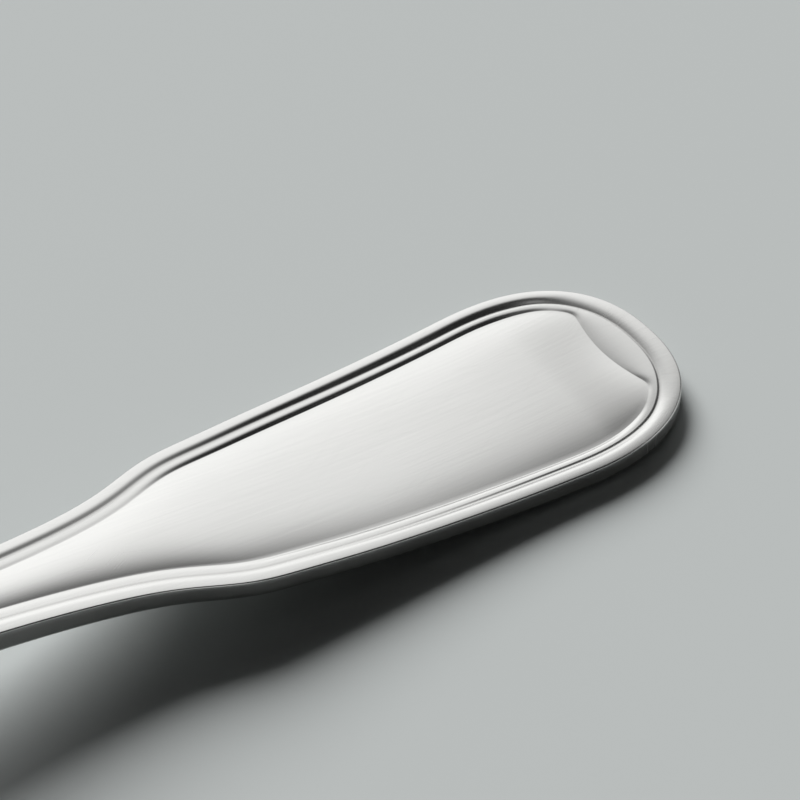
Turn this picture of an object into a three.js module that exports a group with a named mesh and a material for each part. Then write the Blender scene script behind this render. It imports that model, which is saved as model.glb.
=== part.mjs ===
// Table spoon with a fiddle-shaped handle and a double thread border, struck from one blank of steel.
// Millimetres, +Z up. The spoon lies as on a table: bowl and handle end touch the plane z = 0.
// +X points to the handle's end, and the spoon is symmetric about y = 0.
import * as THREE from "three";

// Plan of the blank, measured along the spoon from the handle's end
const length = 208;
const headHalfWidth = 12.35;
const headWidthAt = 14;
const headTaper = 0.069;
const tipCapLength = 16.4;
const tipCapPower = 2.29;
const shoulderAt = 52.6;
const shoulderRun = 3.06;
const shoulderPower = 0.67;
const stemHalfWidth = 3.45;
const neckExtraHalfWidth = 2.56;
const neckReach = 26.7;
const bowlLength = 71;
const bowlHalfWidth = 22;
const bowlWidestFromNose = 38;
const bowlHeelPower = 0.7;
const bowlNosePower = 2.1;
const flareBlend = 3;
const heelAt = length - bowlLength;
const bowlWidestAt = length - bowlWidestFromNose;

// Side view: heights of the top edge over the table
const tipRise = 0.05;
const tipSlope = -0.01;
const headRestAt = 10.6;
const neckAt = 61;
const neckRise = 5.03;
const neckSlope = 0.149;
const crestBeforeHeel = 20;
const crestRise = 2.4;
const rimSlope = -0.012;
const noseRise = 0.4;
const noseSlope = 0.03;
const restFlat = 0.1;

// Thickness of the metal
const headEdgeThickness = 1.95;
const headBackCrown = 0.45;
const stemEdgeThickness = 2.5;
const stemBackCrown = 0.9;
const rimThickness = 1.35;
const bowlFloorThickness = 1.7;
const thickenFrom = 44;
const thickenTo = 92;
const thinBeforeHeel = 11;
const thinPastHeel = 19;

// Bowl
const bowlDepth = 9.2;
const hollowPastHeel = 2;
const hollowDeepestFromNose = 38;
const rimLand = 0.7;
const hollowNosePower = 2.2;
const hollowSidePower = 2.2;
const hollowDeepestAt = length - hollowDeepestFromNose;

// Thread border, from the edge inwards, with heights below the outer bead's crest
const cornerRadius = 0.25;
const beadCrestInset = 0.78;
const beadOuterFall = 0.045;
const beadRollRun = 0.96;
const beadRollSkew = 1.5;
const grooveDepth = 0.225;
const innerCrestRun = 0.24;
const innerCrestDrop = 0.175;
const stepRun = 0.74;
const stepSkew = 2;
const grooveInset = beadCrestInset + beadRollRun;
const stepInset = grooveInset + innerCrestRun + stepRun;

// At the handle's end the border is wider, later and shallower, and towards the neck it is softer
const endInsetFrom = 9;
const endInsetTo = 2;
const endExtraInset = 0.42;
const endCrestFrom = 4;
const endCrestTo = 0.5;
const endCrestExtraInset = 0.42;
const endLowFrom = 9;
const endLowTo = 3.5;
const endOuterFall = 0.06;
const endRollPower = 2;
const endGrooveDepth = 0.09;
const endInnerCrestDrop = 0.015;
const softenFrom = 34;
const softenTo = 60;
const softGrooveShare = 0.53;
const softStepShare = 0.4;
const threadFadeLength = 22;
const threadEndBeforeHeel = 3;

// Panel inside the border: a low pillow with rounded shoulders, lower at the handle's end
const panelRecess = 0.35;
const panelCrown = 0.31;
const panelShoulder = 3.2;
const neckCrownExtra = 0.1;
const neckCrownFrom = 20;
const neckCrownTo = 44;
const endPanelFrom = 14;
const endPanelTo = 4;
const endRecessShare = 0.22;
const endCrownShare = 0.6;

// Lens between the border and the panel's end, which dips to an arc bowed towards the bowl
const endArcRadius = 15.5;
const endArcInset = 5.5;
const endArcBlend = 0.6;
const endDip = 0.21;
const endDipReach = 2.8;
const endDipHalfWidth = 9;
const lensPower = 2.7;
const lensFullAt = 1.2;

const backEdgeRound = 0.4;
const largestBorderShare = 0.85;
const largestRoundShare = 0.4;

// Mesh density
const stations = 116;
const tipSpinePastArc = 1.6;
const tipSpineInset = endArcInset + tipSpinePastArc;
const tipSpineReach = 10;
const noseSpineInset = 15;
const noseSpineReach = 22;
const panelFractions = [1, 0.82, 0.62, 0.42, 0.24, 0.1];
const cornerDegrees = [0, 45, 90];
const rollFractions = [0, 0.4, 0.7, 1];
const stepFractions = [0, 0.45, 0.7, 0.87, 1];
const backFractions = [0.2, 0.42, 0.63, 0.8, 0.92, 1];

function clamp01(value) {
  return Math.min(1, Math.max(0, value));
}

function smoothStep(from, to, value) {
  const u = clamp01((value - from) / (to - from));
  return u * u * (3 - 2 * u);
}

function mix(a, b, share) {
  return a + (b - a) * share;
}

// Height at t on the cubic between two points that have a height and a slope
function hermite(t, from, to) {
  const span = to.at - from.at;
  const u = (t - from.at) / span;
  const rise = u * u * (3 - 2 * u);
  const lean = from.slope * (1 - u) - to.slope * u;
  return mix(from.height, to.height, rise) + span * u * (1 - u) * lean;
}

// Half width of the head before its end is rounded off: a straight taper towards the stem
function headLine(t) {
  return headHalfWidth - headTaper * (t - headWidthAt);
}

// Half width of the stem: narrow at the bowl, drawn out wider towards the shoulders
function stemLine(t) {
  return stemHalfWidth + neckExtraHalfWidth * Math.exp((shoulderAt - t) / neckReach);
}

// Half width of the bowl: a blunt egg, pointed at the heel and round at the nose
function bowlLine(t) {
  if (t <= heelAt) {
    return 0;
  }
  if (t < bowlWidestAt) {
    const v = (t - heelAt) / (bowlWidestAt - heelAt);
    return bowlHalfWidth * Math.pow(v * (2 - v), bowlHeelPower);
  }
  const v = clamp01((t - bowlWidestAt) / (length - bowlWidestAt));
  return bowlHalfWidth * Math.pow(1 - Math.pow(v, bowlNosePower), 1 / bowlNosePower);
}

// Half width of the whole outline at distance t from the handle's end
function halfWidth(t) {
  const shoulder = 1 - Math.pow(1 + Math.exp((t - shoulderAt) / shoulderRun), -shoulderPower);
  const capReach = clamp01(1 - t / tipCapLength);
  const cap = Math.pow(1 - Math.pow(capReach, tipCapPower), 1 / tipCapPower);
  const handle = mix(headLine(t), stemLine(t), shoulder) * cap;
  const bowl = bowlLine(t);
  if (t >= bowlWidestAt) {
    return bowl;
  }
  const stemShare = smoothStep(bowlWidestAt, heelAt, t);
  return Math.pow(Math.pow(handle * stemShare, flareBlend) + Math.pow(bowl, flareBlend), 1 / flareBlend);
}

// Side view of the top edge: points with their distance, height over the table and slope
const headRestHeight = headEdgeThickness + headBackCrown - restFlat;
const rimHeight = bowlDepth + bowlFloorThickness - restFlat;
const sideView = [
  { at: 0, height: headRestHeight + tipRise, slope: tipSlope },
  { at: headRestAt, height: headRestHeight, slope: 0 },
  { at: neckAt, height: headRestHeight + neckRise, slope: neckSlope },
  { at: heelAt - crestBeforeHeel, height: rimHeight + crestRise, slope: 0 },
  { at: hollowDeepestAt, height: rimHeight, slope: rimSlope },
  { at: length, height: rimHeight + noseRise, slope: noseSlope },
];

function edgeHeight(t) {
  let k = 0;
  while (k < sideView.length - 2 && t > sideView[k + 1].at) {
    k += 1;
  }
  return hermite(t, sideView[k], sideView[k + 1]);
}

// Share of the bowl's full depth at distance t, before the fall-off towards the sides
function hollowAlong(t) {
  if (t <= hollowDeepestAt) {
    return smoothStep(heelAt + hollowPastHeel, hollowDeepestAt, t);
  }
  const v = clamp01((t - hollowDeepestAt) / (length - rimLand - hollowDeepestAt));
  return 1 - Math.pow(v, hollowNosePower);
}

function hollowShare(t, y, half) {
  const side = half > 0 ? clamp01(Math.abs(y) / half) : 1;
  return hollowAlong(t) * (1 - Math.pow(side, hollowSidePower));
}

// Strength of the struck border: full on the head, softer at the neck, gone where the stem meets the bowl
function threadStrength(t, softShare) {
  const struck = mix(1, softShare, smoothStep(softenFrom, softenTo, t));
  return struck * handleShare(t);
}

function handleShare(t) {
  const fadeEnd = heelAt - threadEndBeforeHeel;
  return 1 - smoothStep(fadeEnd - threadFadeLength, fadeEnd, t);
}

// How far the groove and the step lie further in at the handle's end
function endShift(t) {
  return endExtraInset * smoothStep(endInsetFrom, endInsetTo, t);
}

// Distance of the outer bead's crest from the edge
function beadCrestAt(t) {
  return beadCrestInset + endCrestExtraInset * smoothStep(endCrestFrom, endCrestTo, t);
}

// 1 at the very end of the handle, where the border is low, and 0 past its round
function endLow(t) {
  return smoothStep(endLowFrom, endLowTo, t);
}

// 0 on the stem, 1 in the bowl
function bowlShare(t) {
  return smoothStep(heelAt - thinBeforeHeel, heelAt + thinPastHeel, t);
}

function edgeThickness(t) {
  const handle = mix(headEdgeThickness, stemEdgeThickness, smoothStep(thickenFrom, thickenTo, t));
  return mix(handle, rimThickness, bowlShare(t));
}

function backCrown(t) {
  const handle = mix(headBackCrown, stemBackCrown, smoothStep(thickenFrom, thickenTo, t));
  return handle * (1 - bowlShare(t));
}

// Distance of the panel's edge from the outline, along the inward normal (nt, ny) at point (t, y).
// At the handle's end it runs to the end arc, with a soft change from the step to the lens.
function panelInset(t, y, nt, ny) {
  const dt = t - (endArcInset - endArcRadius);
  const along = dt * nt + y * ny;
  const beyond = dt * dt + y * y - endArcRadius ** 2;
  const reach = beyond < 0 ? Math.sqrt(Math.max(0, along * along - beyond)) - along : 0;
  const step = stepInset + endShift(t);
  const gap = reach - step;
  return step + 0.5 * (gap + Math.hypot(gap, endArcBlend));
}

// Height of the panel over the outer bead's crest
function panelRelief(t, y) {
  const fromSide = Math.max(0, halfWidth(t) - stepInset - Math.abs(y));
  const fromEnd = Math.max(0, Math.hypot(t - endArcInset + endArcRadius, y) - endArcRadius);
  const end = smoothStep(endPanelFrom, endPanelTo, t);
  const fullCrown = panelCrown + neckCrownExtra * smoothStep(neckCrownFrom, neckCrownTo, t);
  const pillow = fullCrown * Math.tanh(fromSide / panelShoulder) * handleShare(t);
  const recess = panelRecess * threadStrength(t, softStepShare);
  const dip = endDip * Math.exp(-fromEnd / endDipReach) * clamp01(1 - (y / endDipHalfWidth) ** 2);
  return pillow * mix(1, endCrownShare, end) - recess * mix(1, endRecessShare, end) - dip;
}

// Height of the outer bead at distance d from the edge: a slight fall outwards, a roll into the groove
function beadRelief(t, d) {
  const low = endLow(t);
  const crest = beadCrestAt(t);
  const outer = mix(beadOuterFall, endOuterFall, low) * clamp01(1 - d / crest) ** 2;
  const into = clamp01((d - crest) / (grooveInset + endShift(t) - crest));
  const roll = mix(smoothStep(0, 1, into ** beadRollSkew), into ** endRollPower, low);
  const depth = mix(grooveDepth, endGrooveDepth, low);
  return -threadStrength(t, softGrooveShare) * (outer + depth * roll);
}

// Border section at one station: distance inwards, and height over the outer bead's crest
function borderLevels(t, inset, corner, panelEdge) {
  const levels = [];
  for (const degrees of cornerDegrees) {
    const turn = THREE.MathUtils.degToRad(degrees);
    const d = corner * (1 - Math.cos(turn));
    levels.push([d, beadRelief(t, d) - corner * (1 - Math.sin(turn))]);
  }
  const groove = grooveInset + endShift(t);
  for (const share of rollFractions) {
    const d = mix(beadCrestAt(t), groove, share);
    levels.push([d, beadRelief(t, d)]);
  }
  const innerCrest = groove + innerCrestRun;
  const crestDrop = mix(innerCrestDrop, endInnerCrestDrop, endLow(t));
  const crestHeight = -crestDrop * threadStrength(t, softGrooveShare);
  const lensShare = smoothStep(0, lensFullAt, inset - stepInset - endShift(t));
  for (const share of stepFractions) {
    const fall = mix(smoothStep(0, 1, share ** stepSkew), share ** lensPower, lensShare);
    levels.push([mix(innerCrest, inset, share), mix(crestHeight, panelEdge, fall)]);
  }
  return levels;
}

// Outline parameter 0..1 to distance t: close steps at both round ends
function stationAt(u) {
  return (length * (1 - Math.cos(Math.PI * u))) / 2;
}

function outlinePoint(u) {
  const t = stationAt(clamp01(u));
  return [t, halfWidth(t)];
}

// Unit normal of the outline, pointing into the blank
function inwardNormal(u) {
  const reach = 0.002;
  const [t0, y0] = outlinePoint(u - reach);
  const [t1, y1] = outlinePoint(u + reach);
  if (u < reach) {
    return [1, 0];
  }
  if (u > 1 - reach) {
    return [-1, 0];
  }
  const size = Math.hypot(t1 - t0, y1 - y0);
  return [(y1 - y0) / size, -(t1 - t0) / size];
}

// The centre line's point for a station: drawn in from both round ends, so that stations fan out there
function spineAt(t) {
  const tip = tipSpineInset * Math.exp(-t / tipSpineReach);
  const nose = noseSpineInset * Math.exp(-(length - t) / noseSpineReach);
  return t + tip - nose;
}

function topHeight(t, y, relief) {
  return edgeHeight(t) + relief - bowlDepth * hollowShare(t, y, halfWidth(t) - rimLand);
}

function backHeight(t, y) {
  const half = halfWidth(t);
  const side = half > 0 ? clamp01(Math.abs(y) / half) : 1;
  const drop = edgeThickness(t) + backCrown(t) * (1 - side * side);
  const hollow = (bowlDepth + bowlFloorThickness - rimThickness) * hollowShare(t, y, half);
  return Math.max(0, edgeHeight(t) - drop - hollow);
}

// Half section at one station, from the top's centre line round the edge to the back's centre line
function halfSection(u) {
  const [t, y] = outlinePoint(u);
  const [nt, ny] = inwardNormal(u);
  const inset = panelInset(t, y, nt, ny);
  const spine = spineAt(t);
  const fit = Math.min(1, (largestBorderShare * Math.hypot(spine - t, y)) / inset);
  const panelT = t + nt * inset * fit;
  const panelY = y + ny * inset * fit;
  const roundLimit = largestRoundShare * edgeThickness(t);
  const corner = Math.min(cornerRadius, roundLimit);
  const edgeRound = Math.min(backEdgeRound, roundLimit);
  const section = [];
  for (const share of panelFractions) {
    const pt = mix(panelT, spine, share);
    const py = mix(panelY, 0, share);
    section.push([pt, py, topHeight(pt, py, panelRelief(pt, py))]);
  }
  const panelEdge = panelRelief(panelT, panelY);
  for (const [distance, relief] of borderLevels(t, inset, corner, panelEdge).reverse()) {
    const pt = t + nt * distance * fit;
    const py = y + ny * distance * fit;
    section.push([pt, py, topHeight(pt, py, relief)]);
  }
  section.push([t, y, backHeight(t, y) + edgeRound]);
  const backT = t + nt * edgeRound;
  const backY = y + ny * edgeRound;
  section.push([backT, backY, backHeight(backT, backY)]);
  for (const share of backFractions) {
    const pt = mix(backT, spine, share);
    const py = mix(backY, 0, share);
    section.push([pt, py, backHeight(pt, py)]);
  }
  return section;
}

// Joins the half sections and their mirror images into one closed skin
function spoonGeometry() {
  const sections = [];
  for (let i = 0; i <= stations; i += 1) {
    sections.push(halfSection(i / stations));
  }
  const levels = sections[0].length;
  const positions = [];
  const ids = { right: [], left: [] };
  sections.forEach((section, i) => {
    ids.right.push([]);
    ids.left.push([]);
    section.forEach(([t, y, z], k) => {
      const onAxis = i === 0 || i === stations || k === 0 || k === levels - 1;
      ids.right[i].push(positions.length / 3);
      positions.push(length / 2 - t, onAxis ? 0 : -y, z);
      ids.left[i].push(onAxis ? ids.right[i][k] : positions.length / 3);
      if (!onAxis) {
        positions.push(length / 2 - t, y, z);
      }
    });
  });
  const index = [];
  for (let i = 0; i < stations; i += 1) {
    for (let k = 0; k < levels - 1; k += 1) {
      const r = [ids.right[i][k], ids.right[i][k + 1], ids.right[i + 1][k + 1], ids.right[i + 1][k]];
      const l = [ids.left[i][k], ids.left[i][k + 1], ids.left[i + 1][k + 1], ids.left[i + 1][k]];
      index.push(r[0], r[2], r[1], r[0], r[3], r[2]);
      index.push(l[0], l[1], l[2], l[0], l[2], l[3]);
    }
  }
  const geometry = new THREE.BufferGeometry();
  geometry.setAttribute("position", new THREE.Float32BufferAttribute(positions, 3));
  geometry.setIndex(index);
  geometry.computeVertexNormals();
  return geometry;
}

const steel = new THREE.MeshStandardMaterial({ color: 0xc8c8c5, roughness: 0.3, metalness: 1 });

const spoonBody = new THREE.Mesh(spoonGeometry(), steel);
spoonBody.name = "spoon_body";

const spoon = new THREE.Group();
spoon.add(spoonBody);

export default spoon;
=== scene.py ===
import math

import bpy
import numpy as np
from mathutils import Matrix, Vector


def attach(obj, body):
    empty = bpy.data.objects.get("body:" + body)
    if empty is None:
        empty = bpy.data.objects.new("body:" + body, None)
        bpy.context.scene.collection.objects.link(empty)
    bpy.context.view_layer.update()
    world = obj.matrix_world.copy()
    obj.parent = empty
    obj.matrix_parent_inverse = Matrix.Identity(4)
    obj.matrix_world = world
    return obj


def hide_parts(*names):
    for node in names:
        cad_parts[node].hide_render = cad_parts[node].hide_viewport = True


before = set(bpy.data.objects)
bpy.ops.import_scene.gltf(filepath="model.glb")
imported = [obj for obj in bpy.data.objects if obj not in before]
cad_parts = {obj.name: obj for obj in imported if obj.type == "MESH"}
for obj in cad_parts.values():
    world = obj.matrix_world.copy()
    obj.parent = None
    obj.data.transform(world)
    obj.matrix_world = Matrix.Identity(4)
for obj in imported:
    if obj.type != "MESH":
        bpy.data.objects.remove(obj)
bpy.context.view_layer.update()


# Blank
# The spoon is cut as one flat piece from steel strip, with a fiddle-shaped handle and an egg-shaped bowl end.
# Sizes are in millimetres, measured along the spoon from the handle's end.
LENGTH = 208.0
HEAD_HALF_WIDTH = 12.35
HEAD_WIDTH_AT = 14.0
HEAD_TAPER = 0.0705
TIP_CAP_LENGTH = 16.4
TIP_CAP_POWER = 2.29
SHOULDER_AT = 47.95
SHOULDER_RUN = 3.31
SHOULDER_POWER = 0.345
SHOULDER_POINT = 0.63
SHOULDER_POINT_AT = 50.5
SHOULDER_POINT_RUN = 4.9
STEM_HALF_WIDTH = 3.45
NECK_EXTRA_HALF_WIDTH = 2.23
NECK_REACH = 27.6
BOWL_LENGTH = 71.0
BOWL_HALF_WIDTH = 22.0
BOWL_WIDEST_FROM_NOSE = 38.0
BOWL_HEEL_POWER = 0.7
BOWL_NOSE_POWER = 2.1
FLARE_BLEND = 3.0
HEEL_AT = LENGTH - BOWL_LENGTH
BOWL_WIDEST_AT = LENGTH - BOWL_WIDEST_FROM_NOSE


def mix(a, b, share):
    return a + (b - a) * share


def smooth_step(start, end, value):
    u = np.clip((value - start) / (end - start), 0, 1)
    return u * u * (3 - 2 * u)


def bowl_line(t):
    rear = np.clip((t - HEEL_AT) / (BOWL_WIDEST_AT - HEEL_AT), 0, 1)
    egg = np.power(rear * (2 - rear), BOWL_HEEL_POWER)
    front = np.clip((t - BOWL_WIDEST_AT) / BOWL_WIDEST_FROM_NOSE, 0, 1)
    nose = np.power(1 - np.power(front, BOWL_NOSE_POWER), 1 / BOWL_NOSE_POWER)
    return BOWL_HALF_WIDTH * np.where(t < BOWL_WIDEST_AT, egg, nose)


def half_width(t):
    shoulder = 1 - np.power(1 + np.exp((t - SHOULDER_AT) / SHOULDER_RUN), -SHOULDER_POWER)
    cap_reach = np.clip(1 - t / TIP_CAP_LENGTH, 0, 1)
    cap = np.power(1 - np.power(cap_reach, TIP_CAP_POWER), 1 / TIP_CAP_POWER)
    head = HEAD_HALF_WIDTH - HEAD_TAPER * (t - HEAD_WIDTH_AT)
    stem = STEM_HALF_WIDTH + NECK_EXTRA_HALF_WIDTH * np.exp((SHOULDER_AT - t) / NECK_REACH)
    point = SHOULDER_POINT * np.exp(-(((t - SHOULDER_POINT_AT) / SHOULDER_POINT_RUN) ** 2))
    handle = (mix(head, stem, shoulder) + point) * cap * smooth_step(BOWL_WIDEST_AT, HEEL_AT, t)
    return np.power(np.power(handle, FLARE_BLEND) + np.power(bowl_line(t), FLARE_BLEND), 1 / FLARE_BLEND)


# Pressed form
# The blank is bent and its end pressed into a bowl: the stem arches up from the bowl and comes down to the
# handle's end, so that the spoon lies on the bottom of its bowl and the underside of its handle.
BOWL_DEPTH = 9.2
BOWL_FLOOR_THICKNESS = 1.7
RIM_THICKNESS = 1.35
RIM_LAND = 0.7
RIM_SOFTNESS = 0.03
HOLLOW_PAST_HEEL = 2.0
HOLLOW_DEEPEST_FROM_NOSE = 38.0
HOLLOW_DEEPEST_AT = LENGTH - HOLLOW_DEEPEST_FROM_NOSE
HOLLOW_NOSE_POWER = 2.2
HOLLOW_SIDE_POWER = 2.2
HOLLOW_SIDE_LIMIT = 1.2
HEAD_EDGE_THICKNESS = 1.95
HEAD_BACK_CROWN = 0.45
STEM_EDGE_THICKNESS = 2.5
STEM_BACK_CROWN = 0.9
THICKEN_FROM = 44.0
THICKEN_TO = 92.0
THIN_FROM = HEEL_AT - 11.0
THIN_TO = HEEL_AT + 19.0
REST_FLAT = 0.1
HEAD_REST_HEIGHT = HEAD_EDGE_THICKNESS + HEAD_BACK_CROWN - REST_FLAT
RIM_HEIGHT = BOWL_DEPTH + BOWL_FLOOR_THICKNESS - REST_FLAT
# Used in divisions in place of the width, which goes to zero at both ends
LEAST_HALF_WIDTH = 1e-6
# Distance, height over the table and slope of the top edge, point by point
SIDE_VIEW = (
    (0.0, HEAD_REST_HEIGHT + 0.05, -0.01),
    (10.6, HEAD_REST_HEIGHT, 0.0),
    (61.0, HEAD_REST_HEIGHT + 5.03, 0.149),
    (HEEL_AT - 20.0, RIM_HEIGHT + 2.4, 0.0),
    (HOLLOW_DEEPEST_AT, RIM_HEIGHT, -0.012),
    (LENGTH, RIM_HEIGHT + 0.4, 0.03),
)


def edge_height(t):
    height = np.zeros_like(t)
    for (t0, z0, m0), (t1, z1, m1) in zip(SIDE_VIEW[:-1], SIDE_VIEW[1:]):
        u = np.clip((t - t0) / (t1 - t0), 0, 1)
        lean = m0 * (1 - u) - m1 * u
        curve = mix(z0, z1, u * u * (3 - 2 * u)) + (t1 - t0) * u * (1 - u) * lean
        height = np.where(t >= t0, curve, height)
    return height


def hollow_share(t, y, half):
    rear = smooth_step(HEEL_AT + HOLLOW_PAST_HEEL, HOLLOW_DEEPEST_AT, t)
    front = np.clip((t - HOLLOW_DEEPEST_AT) / (LENGTH - RIM_LAND - HOLLOW_DEEPEST_AT), 0, 1)
    along = np.where(t <= HOLLOW_DEEPEST_AT, rear, 1 - np.power(front, HOLLOW_NOSE_POWER))
    side = np.abs(y) / np.maximum(half, LEAST_HALF_WIDTH)
    across = 1 - np.power(np.minimum(side, HOLLOW_SIDE_LIMIT), HOLLOW_SIDE_POWER)
    return along * 0.5 * (across + np.sqrt(across ** 2 + RIM_SOFTNESS ** 2))


def edge_thickness(t):
    handle = mix(HEAD_EDGE_THICKNESS, STEM_EDGE_THICKNESS, smooth_step(THICKEN_FROM, THICKEN_TO, t))
    return mix(handle, RIM_THICKNESS, smooth_step(THIN_FROM, THIN_TO, t))


def top_height(t, y):
    return edge_height(t) - BOWL_DEPTH * hollow_share(t, y, half_width(t) - RIM_LAND)


def back_height(t, y):
    crown = mix(HEAD_BACK_CROWN, STEM_BACK_CROWN, smooth_step(THICKEN_FROM, THICKEN_TO, t))
    crown = crown * (1 - smooth_step(THIN_FROM, THIN_TO, t))
    half = half_width(t)
    side = np.clip(np.abs(y) / np.maximum(half, LEAST_HALF_WIDTH), 0, 1)
    drop = edge_thickness(t) + crown * (1 - side ** 2)
    hollow = (BOWL_DEPTH + BOWL_FLOOR_THICKNESS - RIM_THICKNESS) * hollow_share(t, y, half)
    return np.maximum(0, edge_height(t) - drop - hollow)


# Struck border
# Two dies strike a double thread round the handle: a broad outer bead, a groove, a fine inner bead and a step
# down to a panel with rounded shoulders. At the end the inner bead widens to a lens that slopes to the panel.
CORNER_RADIUS = 0.12
BEAD_CREST_INSET = 0.78
BEAD_OUTER_FALL = 0.045
BEAD_ROLL_SKEW = 1.5
GROOVE_INSET = 1.74
GROOVE_DEPTH = 0.225
INNER_CREST_RUN = 0.27
INNER_CREST_DROP = 0.185
STEP_INSET = 2.72
STEP_SKEW = 2.0
# Round the end the lines lie further in, and the relief is lower, with a plainer curve into the groove
END_EXTRA_INSET = 0.4
END_INSET_FROM = 7.0
END_INSET_TO = 0.0
END_LOW_FROM = 9.5
END_LOW_TO = 1.0
END_CREST_EXTRA_INSET = 0.42
END_CREST_FROM = 4.0
END_CREST_TO = 0.5
END_OUTER_FALL = 0.08
END_ROLL_POWER = 2.0
END_GROOVE_DEPTH = 0.09
END_INNER_CREST_DROP = 0.018
# Towards the stem the relief is lower too: the share of the full depth, and where the change starts and ends
SOFT_GROOVE = (0.42, 17.0, 54.0)
SOFT_STEP = (0.4, 29.0, 62.0)
# Along the neck the inner bead sinks to the groove's level, and the groove lies nearer the edge
NECK_CREST_FROM = 13.0
NECK_CREST_TO = 43.0
NECK_GROOVE_SHIFT = 0.13
NECK_GROOVE_FROM = 18.0
NECK_GROOVE_TO = 38.0
# The border runs out before the bowl
THREAD_FADE_FROM = HEEL_AT - 25.0
THREAD_FADE_TO = HEEL_AT - 3.0
# The panel lies below the border, is crowned more at the neck, and comes up and dips at the end
PANEL_RECESS = 0.35
PANEL_CROWN = 0.31
NECK_CROWN_EXTRA = 0.33
NECK_CROWN_FROM = 30.0
NECK_CROWN_TO = 64.0
PANEL_SHOULDER = 3.2
MIN_PANEL_HALF_WIDTH = 0.5
END_PANEL_FROM = 12.0
END_PANEL_TO = 4.0
END_RECESS_SHARE = 0.3
END_CROWN_SHARE = 0.74
END_DIP = 0.19
END_DIP_REACH = 2.8
END_DIP_HALF_WIDTH = 7.5
# The arc that ends the panel, and the lens beyond it
END_ARC_RADIUS = 15.5
END_ARC_INSET = 5.5
END_ARC_BLEND = 0.8
LENS_POWER = 2.7
LENS_FULL_AT = 1.2
LENS_BULGE = 0.012
# Rounding of the back's edge, and the most that a rounding takes of the thickness
BACK_EDGE_ROUND = 0.4
ROUND_LIMIT = 0.4
# Mesh levels across each part of the border
CORNER_LEVELS = 7
BEAD_LEVELS = 21
INNER_CREST_LEVELS = 5
STEP_LEVELS = 25


def thread_strength(t, soft):
    share, start, end = soft
    struck = mix(1, share, smooth_step(start, end, t))
    return struck * (1 - smooth_step(THREAD_FADE_FROM, THREAD_FADE_TO, t))


def end_shift(t):
    return END_EXTRA_INSET * smooth_step(END_INSET_FROM, END_INSET_TO, t)


def groove_shift(t):
    return end_shift(t) - NECK_GROOVE_SHIFT * smooth_step(NECK_GROOVE_FROM, NECK_GROOVE_TO, t)


def end_low(t):
    return smooth_step(END_LOW_FROM, END_LOW_TO, t)


def panel_inset(t, y, nt, ny):
    dt = t - (END_ARC_INSET - END_ARC_RADIUS)
    along = dt * nt + y * ny
    beyond = dt ** 2 + y ** 2 - END_ARC_RADIUS ** 2
    reach = np.where(beyond < 0, np.sqrt(np.maximum(along ** 2 - beyond, 0)) - along, 0)
    step = STEP_INSET + end_shift(t)
    return step + 0.5 * (reach - step + np.sqrt((reach - step) ** 2 + END_ARC_BLEND ** 2))


def panel_relief(t, y):
    half = np.maximum(half_width(t) - STEP_INSET, MIN_PANEL_HALF_WIDTH)
    from_side = np.maximum(half ** 2 - y ** 2, 0) / (2 * half)
    from_end = np.maximum(np.hypot(t - END_ARC_INSET + END_ARC_RADIUS, y) - END_ARC_RADIUS, 0)
    end = smooth_step(END_PANEL_FROM, END_PANEL_TO, t)
    fade = 1 - smooth_step(THREAD_FADE_FROM, THREAD_FADE_TO, t)
    full_crown = PANEL_CROWN + NECK_CROWN_EXTRA * smooth_step(NECK_CROWN_FROM, NECK_CROWN_TO, t)
    crown = full_crown * np.tanh(from_side / PANEL_SHOULDER) * mix(1, END_CROWN_SHARE, end) * fade
    recess = PANEL_RECESS * mix(1, END_RECESS_SHARE, end) * thread_strength(t, SOFT_STEP)
    dip = END_DIP * np.exp(-from_end / END_DIP_REACH) * np.clip(1 - (y / END_DIP_HALF_WIDTH) ** 2, 0, 1)
    return crown - recess - dip


def bead_relief(t, d):
    low = end_low(t)
    crest = BEAD_CREST_INSET + END_CREST_EXTRA_INSET * smooth_step(END_CREST_FROM, END_CREST_TO, t)
    outer_fall = mix(BEAD_OUTER_FALL, END_OUTER_FALL, low) * np.clip(1 - d / crest, 0, 1) ** 2
    into_groove = np.clip((d - crest) / (GROOVE_INSET + groove_shift(t) - crest), 0, 1)
    roll = mix(smooth_step(0, 1, into_groove ** BEAD_ROLL_SKEW), into_groove ** END_ROLL_POWER, low)
    depth = mix(GROOVE_DEPTH, END_GROOVE_DEPTH, low)
    return -thread_strength(t, SOFT_GROOVE) * (outer_fall + depth * roll)


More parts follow.
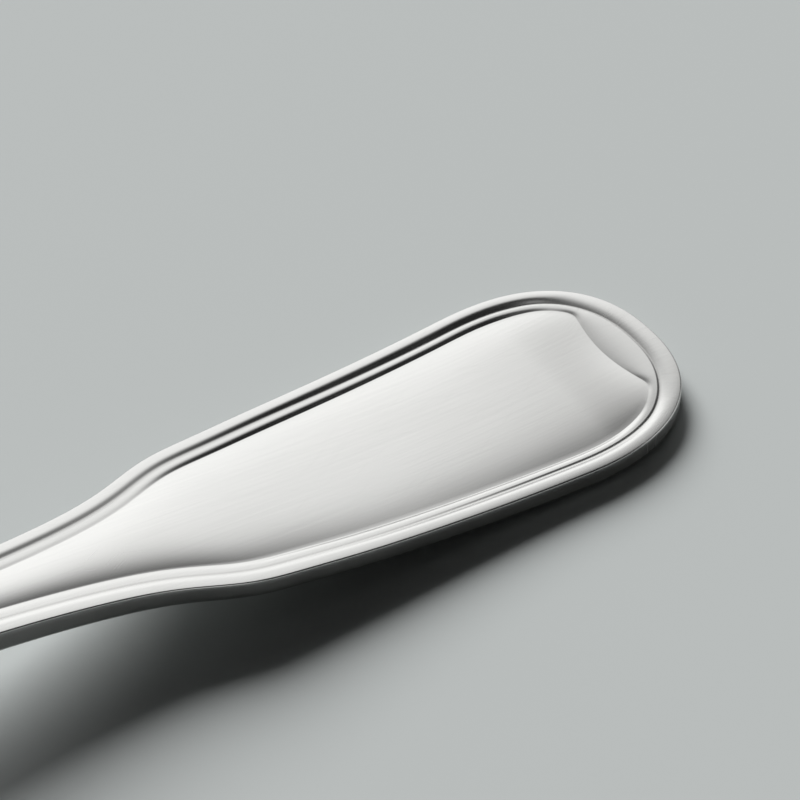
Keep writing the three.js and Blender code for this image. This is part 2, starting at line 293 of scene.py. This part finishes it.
def border_section(t, inset, corner, panel_edge):
    """Distances inwards from the edge and heights over the outer bead's crest, one row for each station."""
    rows = []
    groove = GROOVE_INSET + groove_shift(t)
    crest = groove + INNER_CREST_RUN
    neck_drop = mix(INNER_CREST_DROP, GROOVE_DEPTH, smooth_step(NECK_CREST_FROM, NECK_CREST_TO, t))
    crest_drop = mix(neck_drop, END_INNER_CREST_DROP, end_low(t))
    crest_height = -crest_drop * thread_strength(t, SOFT_GROOVE)
    lens_share = smooth_step(0, LENS_FULL_AT, inset - STEP_INSET - end_shift(t))

    def add(distance, height):
        rows.append((distance, height))

    for turn in np.linspace(0, math.pi / 2, CORNER_LEVELS + 1):
        d = corner * (1 - math.cos(turn))
        add(d, bead_relief(t, d) - corner * (1 - math.sin(turn)))
    for u in np.linspace(0, 1, BEAD_LEVELS + 1)[1:]:
        d = mix(corner, groove, u)
        add(d, bead_relief(t, d))
    for u in np.linspace(0, 1, INNER_CREST_LEVELS + 1)[1:]:
        add(mix(groove, crest, u), mix(bead_relief(t, groove), crest_height, smooth_step(0, 1, u)))
    for u in smooth_step(0, 1, np.linspace(0, 1, STEP_LEVELS + 1)[1:]):
        fall = mix(smooth_step(0, 1, u ** STEP_SKEW), u ** LENS_POWER, lens_share)
        bulge = 4 * LENS_BULGE * u * (1 - u) * lens_share
        add(mix(crest, inset, u), mix(crest_height, panel_edge, fall) + bulge)
    distances, heights = zip(*rows)
    return np.stack(distances, 1), np.stack(heights, 1)


# Skin of the spoon
# Half sections run from the top's centre line over the edge to the back's centre line. They fan out at both
# round ends, and with their mirror images they close into one skin.
STATIONS = 720
PANEL_LEVELS = 18
WALL_LEVELS = 5
BACK_ROUND_LEVELS = 5
BACK_LEVELS = 16
# The sections end on a line that stops short of both ends of the spoon
TIP_SPINE_PAST_ARC = 1.6
TIP_SPINE_INSET = END_ARC_INSET + TIP_SPINE_PAST_ARC
TIP_SPINE_REACH = 10.0
NOSE_SPINE_INSET = 15.0
NOSE_SPINE_REACH = 22.0
# Share of the outline on each side over which its direction is taken
NORMAL_REACH = 1e-3
MM = 0.001


def outline(u):
    t = LENGTH * (1 - np.cos(np.pi * np.clip(u, 0, 1))) / 2
    return t, half_width(t)


def half_sections():
    u = np.linspace(0, 1, STATIONS + 1)
    t, y = outline(u)
    (t0, y0), (t1, y1) = outline(u - NORMAL_REACH), outline(u + NORMAL_REACH)
    size = np.hypot(t1 - t0, y1 - y0)
    nt, ny = (y1 - y0) / size, -(t1 - t0) / size
    nt[0], ny[0], nt[-1], ny[-1] = 1, 0, -1, 0
    inset = panel_inset(t, y, nt, ny)
    thickness = edge_thickness(t)
    corner = np.minimum(CORNER_RADIUS, ROUND_LIMIT * thickness)
    back_round = np.minimum(BACK_EDGE_ROUND, ROUND_LIMIT * thickness)
    spine = t + TIP_SPINE_INSET * np.exp(-t / TIP_SPINE_REACH)
    spine = spine - NOSE_SPINE_INSET * np.exp(-(LENGTH - t) / NOSE_SPINE_REACH)
    along_edge = np.concatenate([[0], np.cumsum(np.hypot(np.diff(t), np.diff(y)))])
    columns = []

    def add(pt, py, pz, depth):
        columns.append(np.stack([pt, py, pz, depth, along_edge], 1))

    panel_t, panel_y = t + nt * inset, y + ny * inset
    for share in np.linspace(1, 0, PANEL_LEVELS + 1)[:-1]:
        pt, py = mix(panel_t, spine, share), mix(panel_y, 0, share)
        depth = inset + share * np.hypot(spine - panel_t, panel_y) - groove_shift(t)
        add(pt, py, top_height(pt, py) + panel_relief(pt, py), depth)
    distances, heights = border_section(t, inset, corner, panel_relief(panel_t, panel_y))
    for k in range(distances.shape[1] - 1, -1, -1):
        d = distances[:, k]
        pt, py = t + nt * d, y + ny * d
        add(pt, py, top_height(pt, py) + heights[:, k], d - groove_shift(t))
    wall_top = top_height(t, y) + bead_relief(t, 0) - corner
    wall_bottom = back_height(t, y) + back_round
    for share in np.linspace(0, 1, WALL_LEVELS + 1)[1:]:
        add(t, y, mix(wall_top, wall_bottom, share), 0 * t)
    for turn in np.linspace(0, math.pi / 2, BACK_ROUND_LEVELS + 1)[1:]:
        d = back_round * (1 - math.cos(turn))
        pt, py = t + nt * d, y + ny * d
        add(pt, py, back_height(pt, py) + back_round * (1 - math.sin(turn)), 0 * t)
    back_t, back_y = t + nt * back_round, y + ny * back_round
    for share in np.linspace(0, 1, BACK_LEVELS + 1)[1:]:
        pt, py = mix(back_t, spine, share), mix(back_y, 0, share)
        add(pt, py, back_height(pt, py), 0 * t)
    return np.stack(columns, 1)


def spoon_mesh():
    sections = half_sections()
    rows, levels, _ = sections.shape
    on_axis = np.zeros((rows, levels), bool)
    on_axis[[0, -1], :] = True
    on_axis[:, [0, -1]] = True
    right_ids = np.arange(rows * levels).reshape(rows, levels)
    left_ids = right_ids.copy()
    left_ids[~on_axis] = rows * levels + np.arange((~on_axis).sum())
    x = LENGTH / 2 - sections[..., 0]
    y = np.where(on_axis, 0, sections[..., 1])
    right = np.stack([x, -y, sections[..., 2]], -1)
    left = np.stack([x, y, sections[..., 2]], -1)[~on_axis]
    points = np.concatenate([right.reshape(-1, 3), left]) * MM

    def quads(ids, flip):
        corners = [ids[:-1, :-1], ids[:-1, 1:], ids[1:, 1:], ids[1:, :-1]]
        faces = np.stack(corners, -1).reshape(-1, 4)
        return faces[:, ::-1] if flip else faces

    faces = np.concatenate([quads(right_ids, True), quads(left_ids, False)])
    mesh = bpy.data.meshes.new("spoon_skin")
    mesh.from_pydata(points.tolist(), [], faces.tolist())
    for column, name in enumerate(("inset_mm", "along_edge_mm"), 3):
        values = np.concatenate([sections[..., column].ravel(), sections[..., column][~on_axis]])
        mesh.attributes.new(name, "FLOAT", "POINT").data.foreach_set("value", values.astype(np.float32))
    mesh.polygons.foreach_set("use_smooth", np.ones(len(faces), bool))
    mesh.validate()
    return mesh


spoon = bpy.data.objects.new("spoon_skin", spoon_mesh())
bpy.context.scene.collection.objects.link(spoon)


# Satin steel
# Stainless steel, ground and then satin polished along its length: a soft reflection with a fine lengthwise
# grain, faint smudges, a few hairlines and pits, and cross marks of the edge wheel on the bead round the end.
# The wheel doesn't reach the bottom of the groove, which stays a little rougher; the colour there is also
# darkened as painted shade.
STEEL_LIGHT = (0.641, 0.641, 0.627, 1)
STEEL_DARK = (0.604, 0.605, 0.593, 1)
# The next colour is painted shade, laid into the bottom of the groove
GROOVE_PAINTED_SHADE = (0.44, 0.437, 0.425, 1)
PIT_COLOUR = (0.42, 0.415, 0.4, 1)
ROUGHNESS_LOW = 0.195
ROUGHNESS_HIGH = 0.245
GROOVE_EXTRA_ROUGHNESS = 0.04
HAIRLINE_EXTRA_ROUGHNESS = 0.03
WHEEL_MARK_EXTRA_ROUGHNESS = 0.05
# Width and strength of the painted shade in the groove
GROOVE_SHADE_WIDTH = 0.3
GROOVE_SHADE_SHARE = 0.5
# Sizes of the marks along and across the spoon, in millimetres
GRAIN_SIZE = (9.0, 0.14)
SMUDGE_SIZE = (14.0, 7.0)
HAIRLINE_SIZE = (7.0, 0.06)
HAIRLINE_TURNS = (17.0, -28.0)
PIT_SPACING = 4.2
PIT_RADIUS = 0.022
PIT_SHARE = 0.15
WHEEL_MARK_SIZE = (0.35, 5.0)
WHEEL_MARKS_END = (10.0, 24.0)
WHEEL_MARKS_INSET = (1.3, 1.9)
# Fine detail in each kind of mark
GRAIN_DETAIL = 2
SMUDGE_DETAIL = 3
HAIRLINE_DETAIL = 0
WHEEL_MARK_DETAIL = 3
# Values between which each mark comes up
HAIRLINE_RANGE = (0.72, 0.78)
TONE_RANGE = (0.35, 0.65)
SMUDGE_RANGE = (0.3, 0.7)
BROAD_FACE_RANGE = (0.4, 0.8)
# Shares of grain and smudge in the tone
TONE_GRAIN = 0.35
TONE_SMUDGE = 0.65
# Height of each mark, in units of the bump's height
BUMP_HEIGHT = 0.0012 * MM
GRAIN_RELIEF = 0.15
HAIRLINE_RELIEF = -0.08
PIT_RELIEF = -1.5
WHEEL_MARK_RELIEF = 1.8


class Nodes:
    """Adds nodes to one tree and joins them."""

    def __init__(self, tree):
        self.tree = tree

    def new(self, kind):
        return self.tree.nodes.new("ShaderNode" + kind)

    def feed(self, socket, value):
        if isinstance(value, bpy.types.NodeSocket):
            self.tree.links.new(value, socket)
        else:
            socket.default_value = value

    def calculate(self, operation, a, b=0.0):
        node = self.new("Math")
        node.operation = operation
        self.feed(node.inputs[0], a)
        self.feed(node.inputs[1], b)
        return node.outputs[0]

    def fit_range(self, value, start, end, low=0.0, high=1.0):
        node = self.new("MapRange")
        node.interpolation_type = "SMOOTHSTEP"
        settings = {"Value": value, "From Min": start, "From Max": end, "To Min": low, "To Max": high}
        for name, setting in settings.items():
            self.feed(node.inputs[name], setting)
        return node.outputs["Result"]


def satin_steel():
    material = bpy.data.materials.new("satin_steel")
    material.use_nodes = True
    nodes = Nodes(material.node_tree)
    new, feed, calculate, fit_range = nodes.new, nodes.feed, nodes.calculate, nodes.fit_range
    shader = material.node_tree.nodes["Principled BSDF"]
    shader.inputs["Metallic"].default_value = 1
    place = new("TexCoord").outputs["Object"]

    def blend(share, a, b):
        node = new("Mix")
        node.data_type = "RGBA"
        for socket, value in zip((node.inputs["Factor"], node.inputs[6], node.inputs[7]), (share, a, b)):
            feed(socket, value)
        return node.outputs[2]

    def noise(vector, detail):
        node = new("TexNoise")
        node.inputs["Scale"].default_value = 1
        node.inputs["Detail"].default_value = detail
        feed(node.inputs["Vector"], vector)
        return node.outputs["Fac"]

    def stretched(size, turn=0.0):
        """Places on the spoon in units of a mark's size, lengthwise marks turned by some degrees."""
        along, across = size
        turned = new("VectorRotate")
        turned.rotation_type = "Z_AXIS"
        turned.inputs["Angle"].default_value = math.radians(turn)
        feed(turned.inputs["Vector"], place)
        node = new("Mapping")
        node.inputs["Scale"].default_value = (1 / (along * MM), 1 / (across * MM), 1 / (along * MM))
        feed(node.inputs["Vector"], turned.outputs["Vector"])
        return node.outputs["Vector"]

    def measure(name):
        node = new("Attribute")
        node.attribute_name = name
        return node.outputs["Fac"]

    def weighted_sum(*marks):
        total = None
        for mark, weight in marks:
            part = calculate("MULTIPLY", mark, weight)
            total = part if total is None else calculate("ADD", total, part)
        return total

    inset, along_edge = measure("inset_mm"), measure("along_edge_mm")
    grain = noise(stretched(GRAIN_SIZE), GRAIN_DETAIL)
    smudge = noise(stretched(SMUDGE_SIZE), SMUDGE_DETAIL)
    hairlines = [fit_range(noise(stretched(HAIRLINE_SIZE, turn), HAIRLINE_DETAIL), *HAIRLINE_RANGE)
                 for turn in HAIRLINE_TURNS]
    hairline = calculate("MAXIMUM", *hairlines)

    cells = new("TexVoronoi")
    cells.inputs["Scale"].default_value = 1
    feed(cells.inputs["Vector"], stretched((PIT_SPACING, PIT_SPACING)))
    chosen = new("SeparateColor")
    feed(chosen.inputs["Color"], cells.outputs["Color"])
    is_pit = calculate("LESS_THAN", chosen.outputs["Red"], PIT_SHARE)
    in_pit = fit_range(cells.outputs["Distance"], PIT_RADIUS, 2 * PIT_RADIUS, 1.0, 0.0)
    pit = calculate("MULTIPLY", is_pit, in_pit)

    across_bead = new("CombineXYZ")
    feed(across_bead.inputs["X"], calculate("DIVIDE", along_edge, WHEEL_MARK_SIZE[0]))
    feed(across_bead.inputs["Y"], calculate("DIVIDE", inset, WHEEL_MARK_SIZE[1]))
    near_end = fit_range(along_edge, *WHEEL_MARKS_END, 1.0, 0.0)
    on_bead = fit_range(inset, *WHEEL_MARKS_INSET, 1.0, 0.0)
    streaks = noise(across_bead.outputs["Vector"], WHEEL_MARK_DETAIL)
    wheel_mark = calculate("MULTIPLY", streaks, calculate("MULTIPLY", near_end, on_bead))

    from_groove = calculate("ABSOLUTE", calculate("SUBTRACT", inset, GROOVE_INSET))
    in_groove = fit_range(from_groove, 0.0, GROOVE_SHADE_WIDTH, 1.0, 0.0)

    tone = weighted_sum((grain, TONE_GRAIN), (smudge, TONE_SMUDGE))
    colour = blend(fit_range(tone, *TONE_RANGE), STEEL_DARK, STEEL_LIGHT)
    # Painted shade: the colour darkens towards the bottom of the groove
    colour = blend(calculate("MULTIPLY", in_groove, GROOVE_SHADE_SHARE), colour, GROOVE_PAINTED_SHADE)
    feed(shader.inputs["Base Color"], blend(pit, colour, PIT_COLOUR))

    polish = fit_range(smudge, *SMUDGE_RANGE, ROUGHNESS_LOW, ROUGHNESS_HIGH)
    extra = weighted_sum((in_groove, GROOVE_EXTRA_ROUGHNESS), (hairline, HAIRLINE_EXTRA_ROUGHNESS),
                         (wheel_mark, WHEEL_MARK_EXTRA_ROUGHNESS))
    feed(shader.inputs["Roughness"], calculate("ADD", polish, extra))

    facing = new("SeparateXYZ")
    feed(facing.inputs["Vector"], new("NewGeometry").outputs["Normal"])
    on_broad_face = fit_range(calculate("ABSOLUTE", facing.outputs["Z"]), *BROAD_FACE_RANGE)
    scratches = weighted_sum((grain, GRAIN_RELIEF), (hairline, HAIRLINE_RELIEF))
    relief = weighted_sum((scratches, on_broad_face), (pit, PIT_RELIEF), (wheel_mark, WHEEL_MARK_RELIEF))
    bump = new("Bump")
    bump.inputs["Strength"].default_value = 1
    bump.inputs["Distance"].default_value = BUMP_HEIGHT
    feed(bump.inputs["Height"], relief)
    feed(shader.inputs["Normal"], bump.outputs["Normal"])
    return material


spoon.data.materials.append(satin_steel())
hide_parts("spoon_body")
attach(spoon, "root")


# Floor
# A plain pale sheet under the spoon, wide enough to fill every view.
FLOOR_HALF_SIZE = 6.0
FLOOR_COLOUR = (0.48, 0.503, 0.498, 1)
FLOOR_ROUGHNESS = 0.9
FLOOR_SPECULAR = 0.1
FLOOR_CORNERS = ((-1, -1), (1, -1), (1, 1), (-1, 1))

floor_mesh = bpy.data.meshes.new("floor")
floor_corners = [(x * FLOOR_HALF_SIZE, y * FLOOR_HALF_SIZE, 0) for x, y in FLOOR_CORNERS]
floor_mesh.from_pydata(floor_corners, [], [(0, 1, 2, 3)])
floor = bpy.data.objects.new("floor", floor_mesh)
bpy.context.scene.collection.objects.link(floor)
floor_material = bpy.data.materials.new("pale_floor")
floor_material.use_nodes = True
floor_shader = floor_material.node_tree.nodes["Principled BSDF"]
floor_shader.inputs["Base Color"].default_value = FLOOR_COLOUR
floor_shader.inputs["Roughness"].default_value = FLOOR_ROUGHNESS
floor_shader.inputs["Specular IOR Level"].default_value = FLOOR_SPECULAR
floor.data.materials.append(floor_material)


# Light
# A broad soft light low behind the spoon, as from a wide window, with the ceiling dim so that the struck
# lines stand out. The floor has a lamp of its own, and soft round lamps fill the spoon's other sides.
DIM_STRENGTH = 0.012
WINDOW_STRENGTH = 1.53
# Turned from +Y towards +X, with half its breadth where it is full and where it has gone
WINDOW_AZIMUTH = 14.0
WINDOW_FULL = 12.0
WINDOW_GONE = 57.0
# Elevations between which its light comes up and goes down again
WINDOW_BOTTOM = (-4.0, 14.0)
WINDOW_TOP = (36.5, 60.5)

world = bpy.data.worlds.new("studio")
bpy.context.scene.world = world
world.use_nodes = True
sky = Nodes(world.node_tree)
direction = sky.new("TexCoord").outputs["Generated"]


def sine(degrees):
    return math.sin(math.radians(degrees))


def heading(azimuth, elevation):
    level = sine(90 - elevation)
    return Vector((sine(azimuth) * level, sine(90 - azimuth) * level, sine(elevation)))


def sky_vector(operation, a, b=None):
    node = sky.new("VectorMath")
    node.operation = operation
    sky.feed(node.inputs[0], a)
    if b is not None:
        sky.feed(node.inputs[1], b)
    return node.outputs["Value" if operation == "DOT_PRODUCT" else "Vector"]


height = sky_vector("DOT_PRODUCT", direction, (0, 0, 1))
compass = sky_vector("NORMALIZE", sky_vector("MULTIPLY", direction, (1, 1, 0)))
towards_window = sky_vector("DOT_PRODUCT", compass, heading(WINDOW_AZIMUTH, 0))
breadth = sky.fit_range(towards_window, sine(90 - WINDOW_GONE), sine(90 - WINDOW_FULL))
above, below = (sky.fit_range(height, *map(sine, edge)) for edge in (WINDOW_BOTTOM, WINDOW_TOP))
glow = sky.calculate("MULTIPLY", breadth, sky.calculate("SUBTRACT", above, below))
total = sky.calculate("ADD", sky.calculate("MULTIPLY", glow, WINDOW_STRENGTH), DIM_STRENGTH)
background = world.node_tree.nodes["Background"]
background.inputs["Color"].default_value = (1, 1, 1, 1)
sky.feed(background.inputs["Strength"], total)

# Where the floor's lamp stands, how wide it looks from the floor, in degrees, and its strength
FLOOR_LAMP_AZIMUTH = 10.0
FLOOR_LAMP_ELEVATION = 33.0
FLOOR_LAMP_SPREAD = 34.0
FLOOR_LAMP_STRENGTH = 4.65
# Distance of the lamps and width of the round ones, in metres
LAMP_DISTANCE = 1.2
FILL_SIZE = 1.1
# Azimuth, elevation and brightness of each fill
FILLS = (
    (106.0, 20.0, 0.65),
    (194.0, 26.0, 0.65),
    (245.0, 28.0, 0.75),
    (298.0, 28.0, 0.7),
    (326.0, 75.0, 0.45),
)


def add_lamp(name, kind, lit, azimuth, elevation):
    """A lamp that shines on one object only, and the light of which the others still block."""
    lamp = bpy.data.objects.new(name, bpy.data.lights.new(name, kind))
    lamp.location = LAMP_DISTANCE * heading(azimuth, elevation)
    lamp.rotation_euler = (-lamp.location).to_track_quat("-Z", "Y").to_euler()
    bpy.context.scene.collection.objects.link(lamp)
    receivers = bpy.data.collections.new(name + "_receivers")
    receivers.objects.link(lit)
    lamp.light_linking.receiver_collection = receivers
    return lamp.data


floor_lamp = add_lamp("floor_lamp", "SUN", floor, FLOOR_LAMP_AZIMUTH, FLOOR_LAMP_ELEVATION)
floor_lamp.angle = math.radians(FLOOR_LAMP_SPREAD)
floor_lamp.energy = FLOOR_LAMP_STRENGTH
for number, (azimuth, elevation, brightness) in enumerate(FILLS, 1):
    fill = add_lamp(f"fill_{number}", "AREA", spoon, azimuth, elevation)
    fill.shape = "DISK"
    fill.size = FILL_SIZE
    disk_area = math.pi * (FILL_SIZE / 2) ** 2
    fill.energy = brightness * math.pi * disk_area


# Camera
# Close to the handle's end and above its near side, so that the bowl lies outside the picture.
# Its place is in metres, and its angles in degrees below the level and from +Y towards +X.
CAMERA_AT = (-0.05736, -0.191765, 0.22987)
CAMERA_DOWN = 43.5
CAMERA_TURN = 34.7
LENS = 162.0
SENSOR_WIDTH = 36.0
CLIP_START = 0.01

camera_data = bpy.data.cameras.new("camera")
camera_data.lens = LENS
camera_data.sensor_width = SENSOR_WIDTH
camera_data.clip_start = CLIP_START
camera = bpy.data.objects.new("camera", camera_data)
camera.location = CAMERA_AT
camera.rotation_euler = heading(CAMERA_TURN, -CAMERA_DOWN).to_track_quat("-Z", "Y").to_euler()
bpy.context.scene.collection.objects.link(camera)
bpy.context.scene.camera = camera
bpy.context.scene.view_settings.view_transform = "Standard"
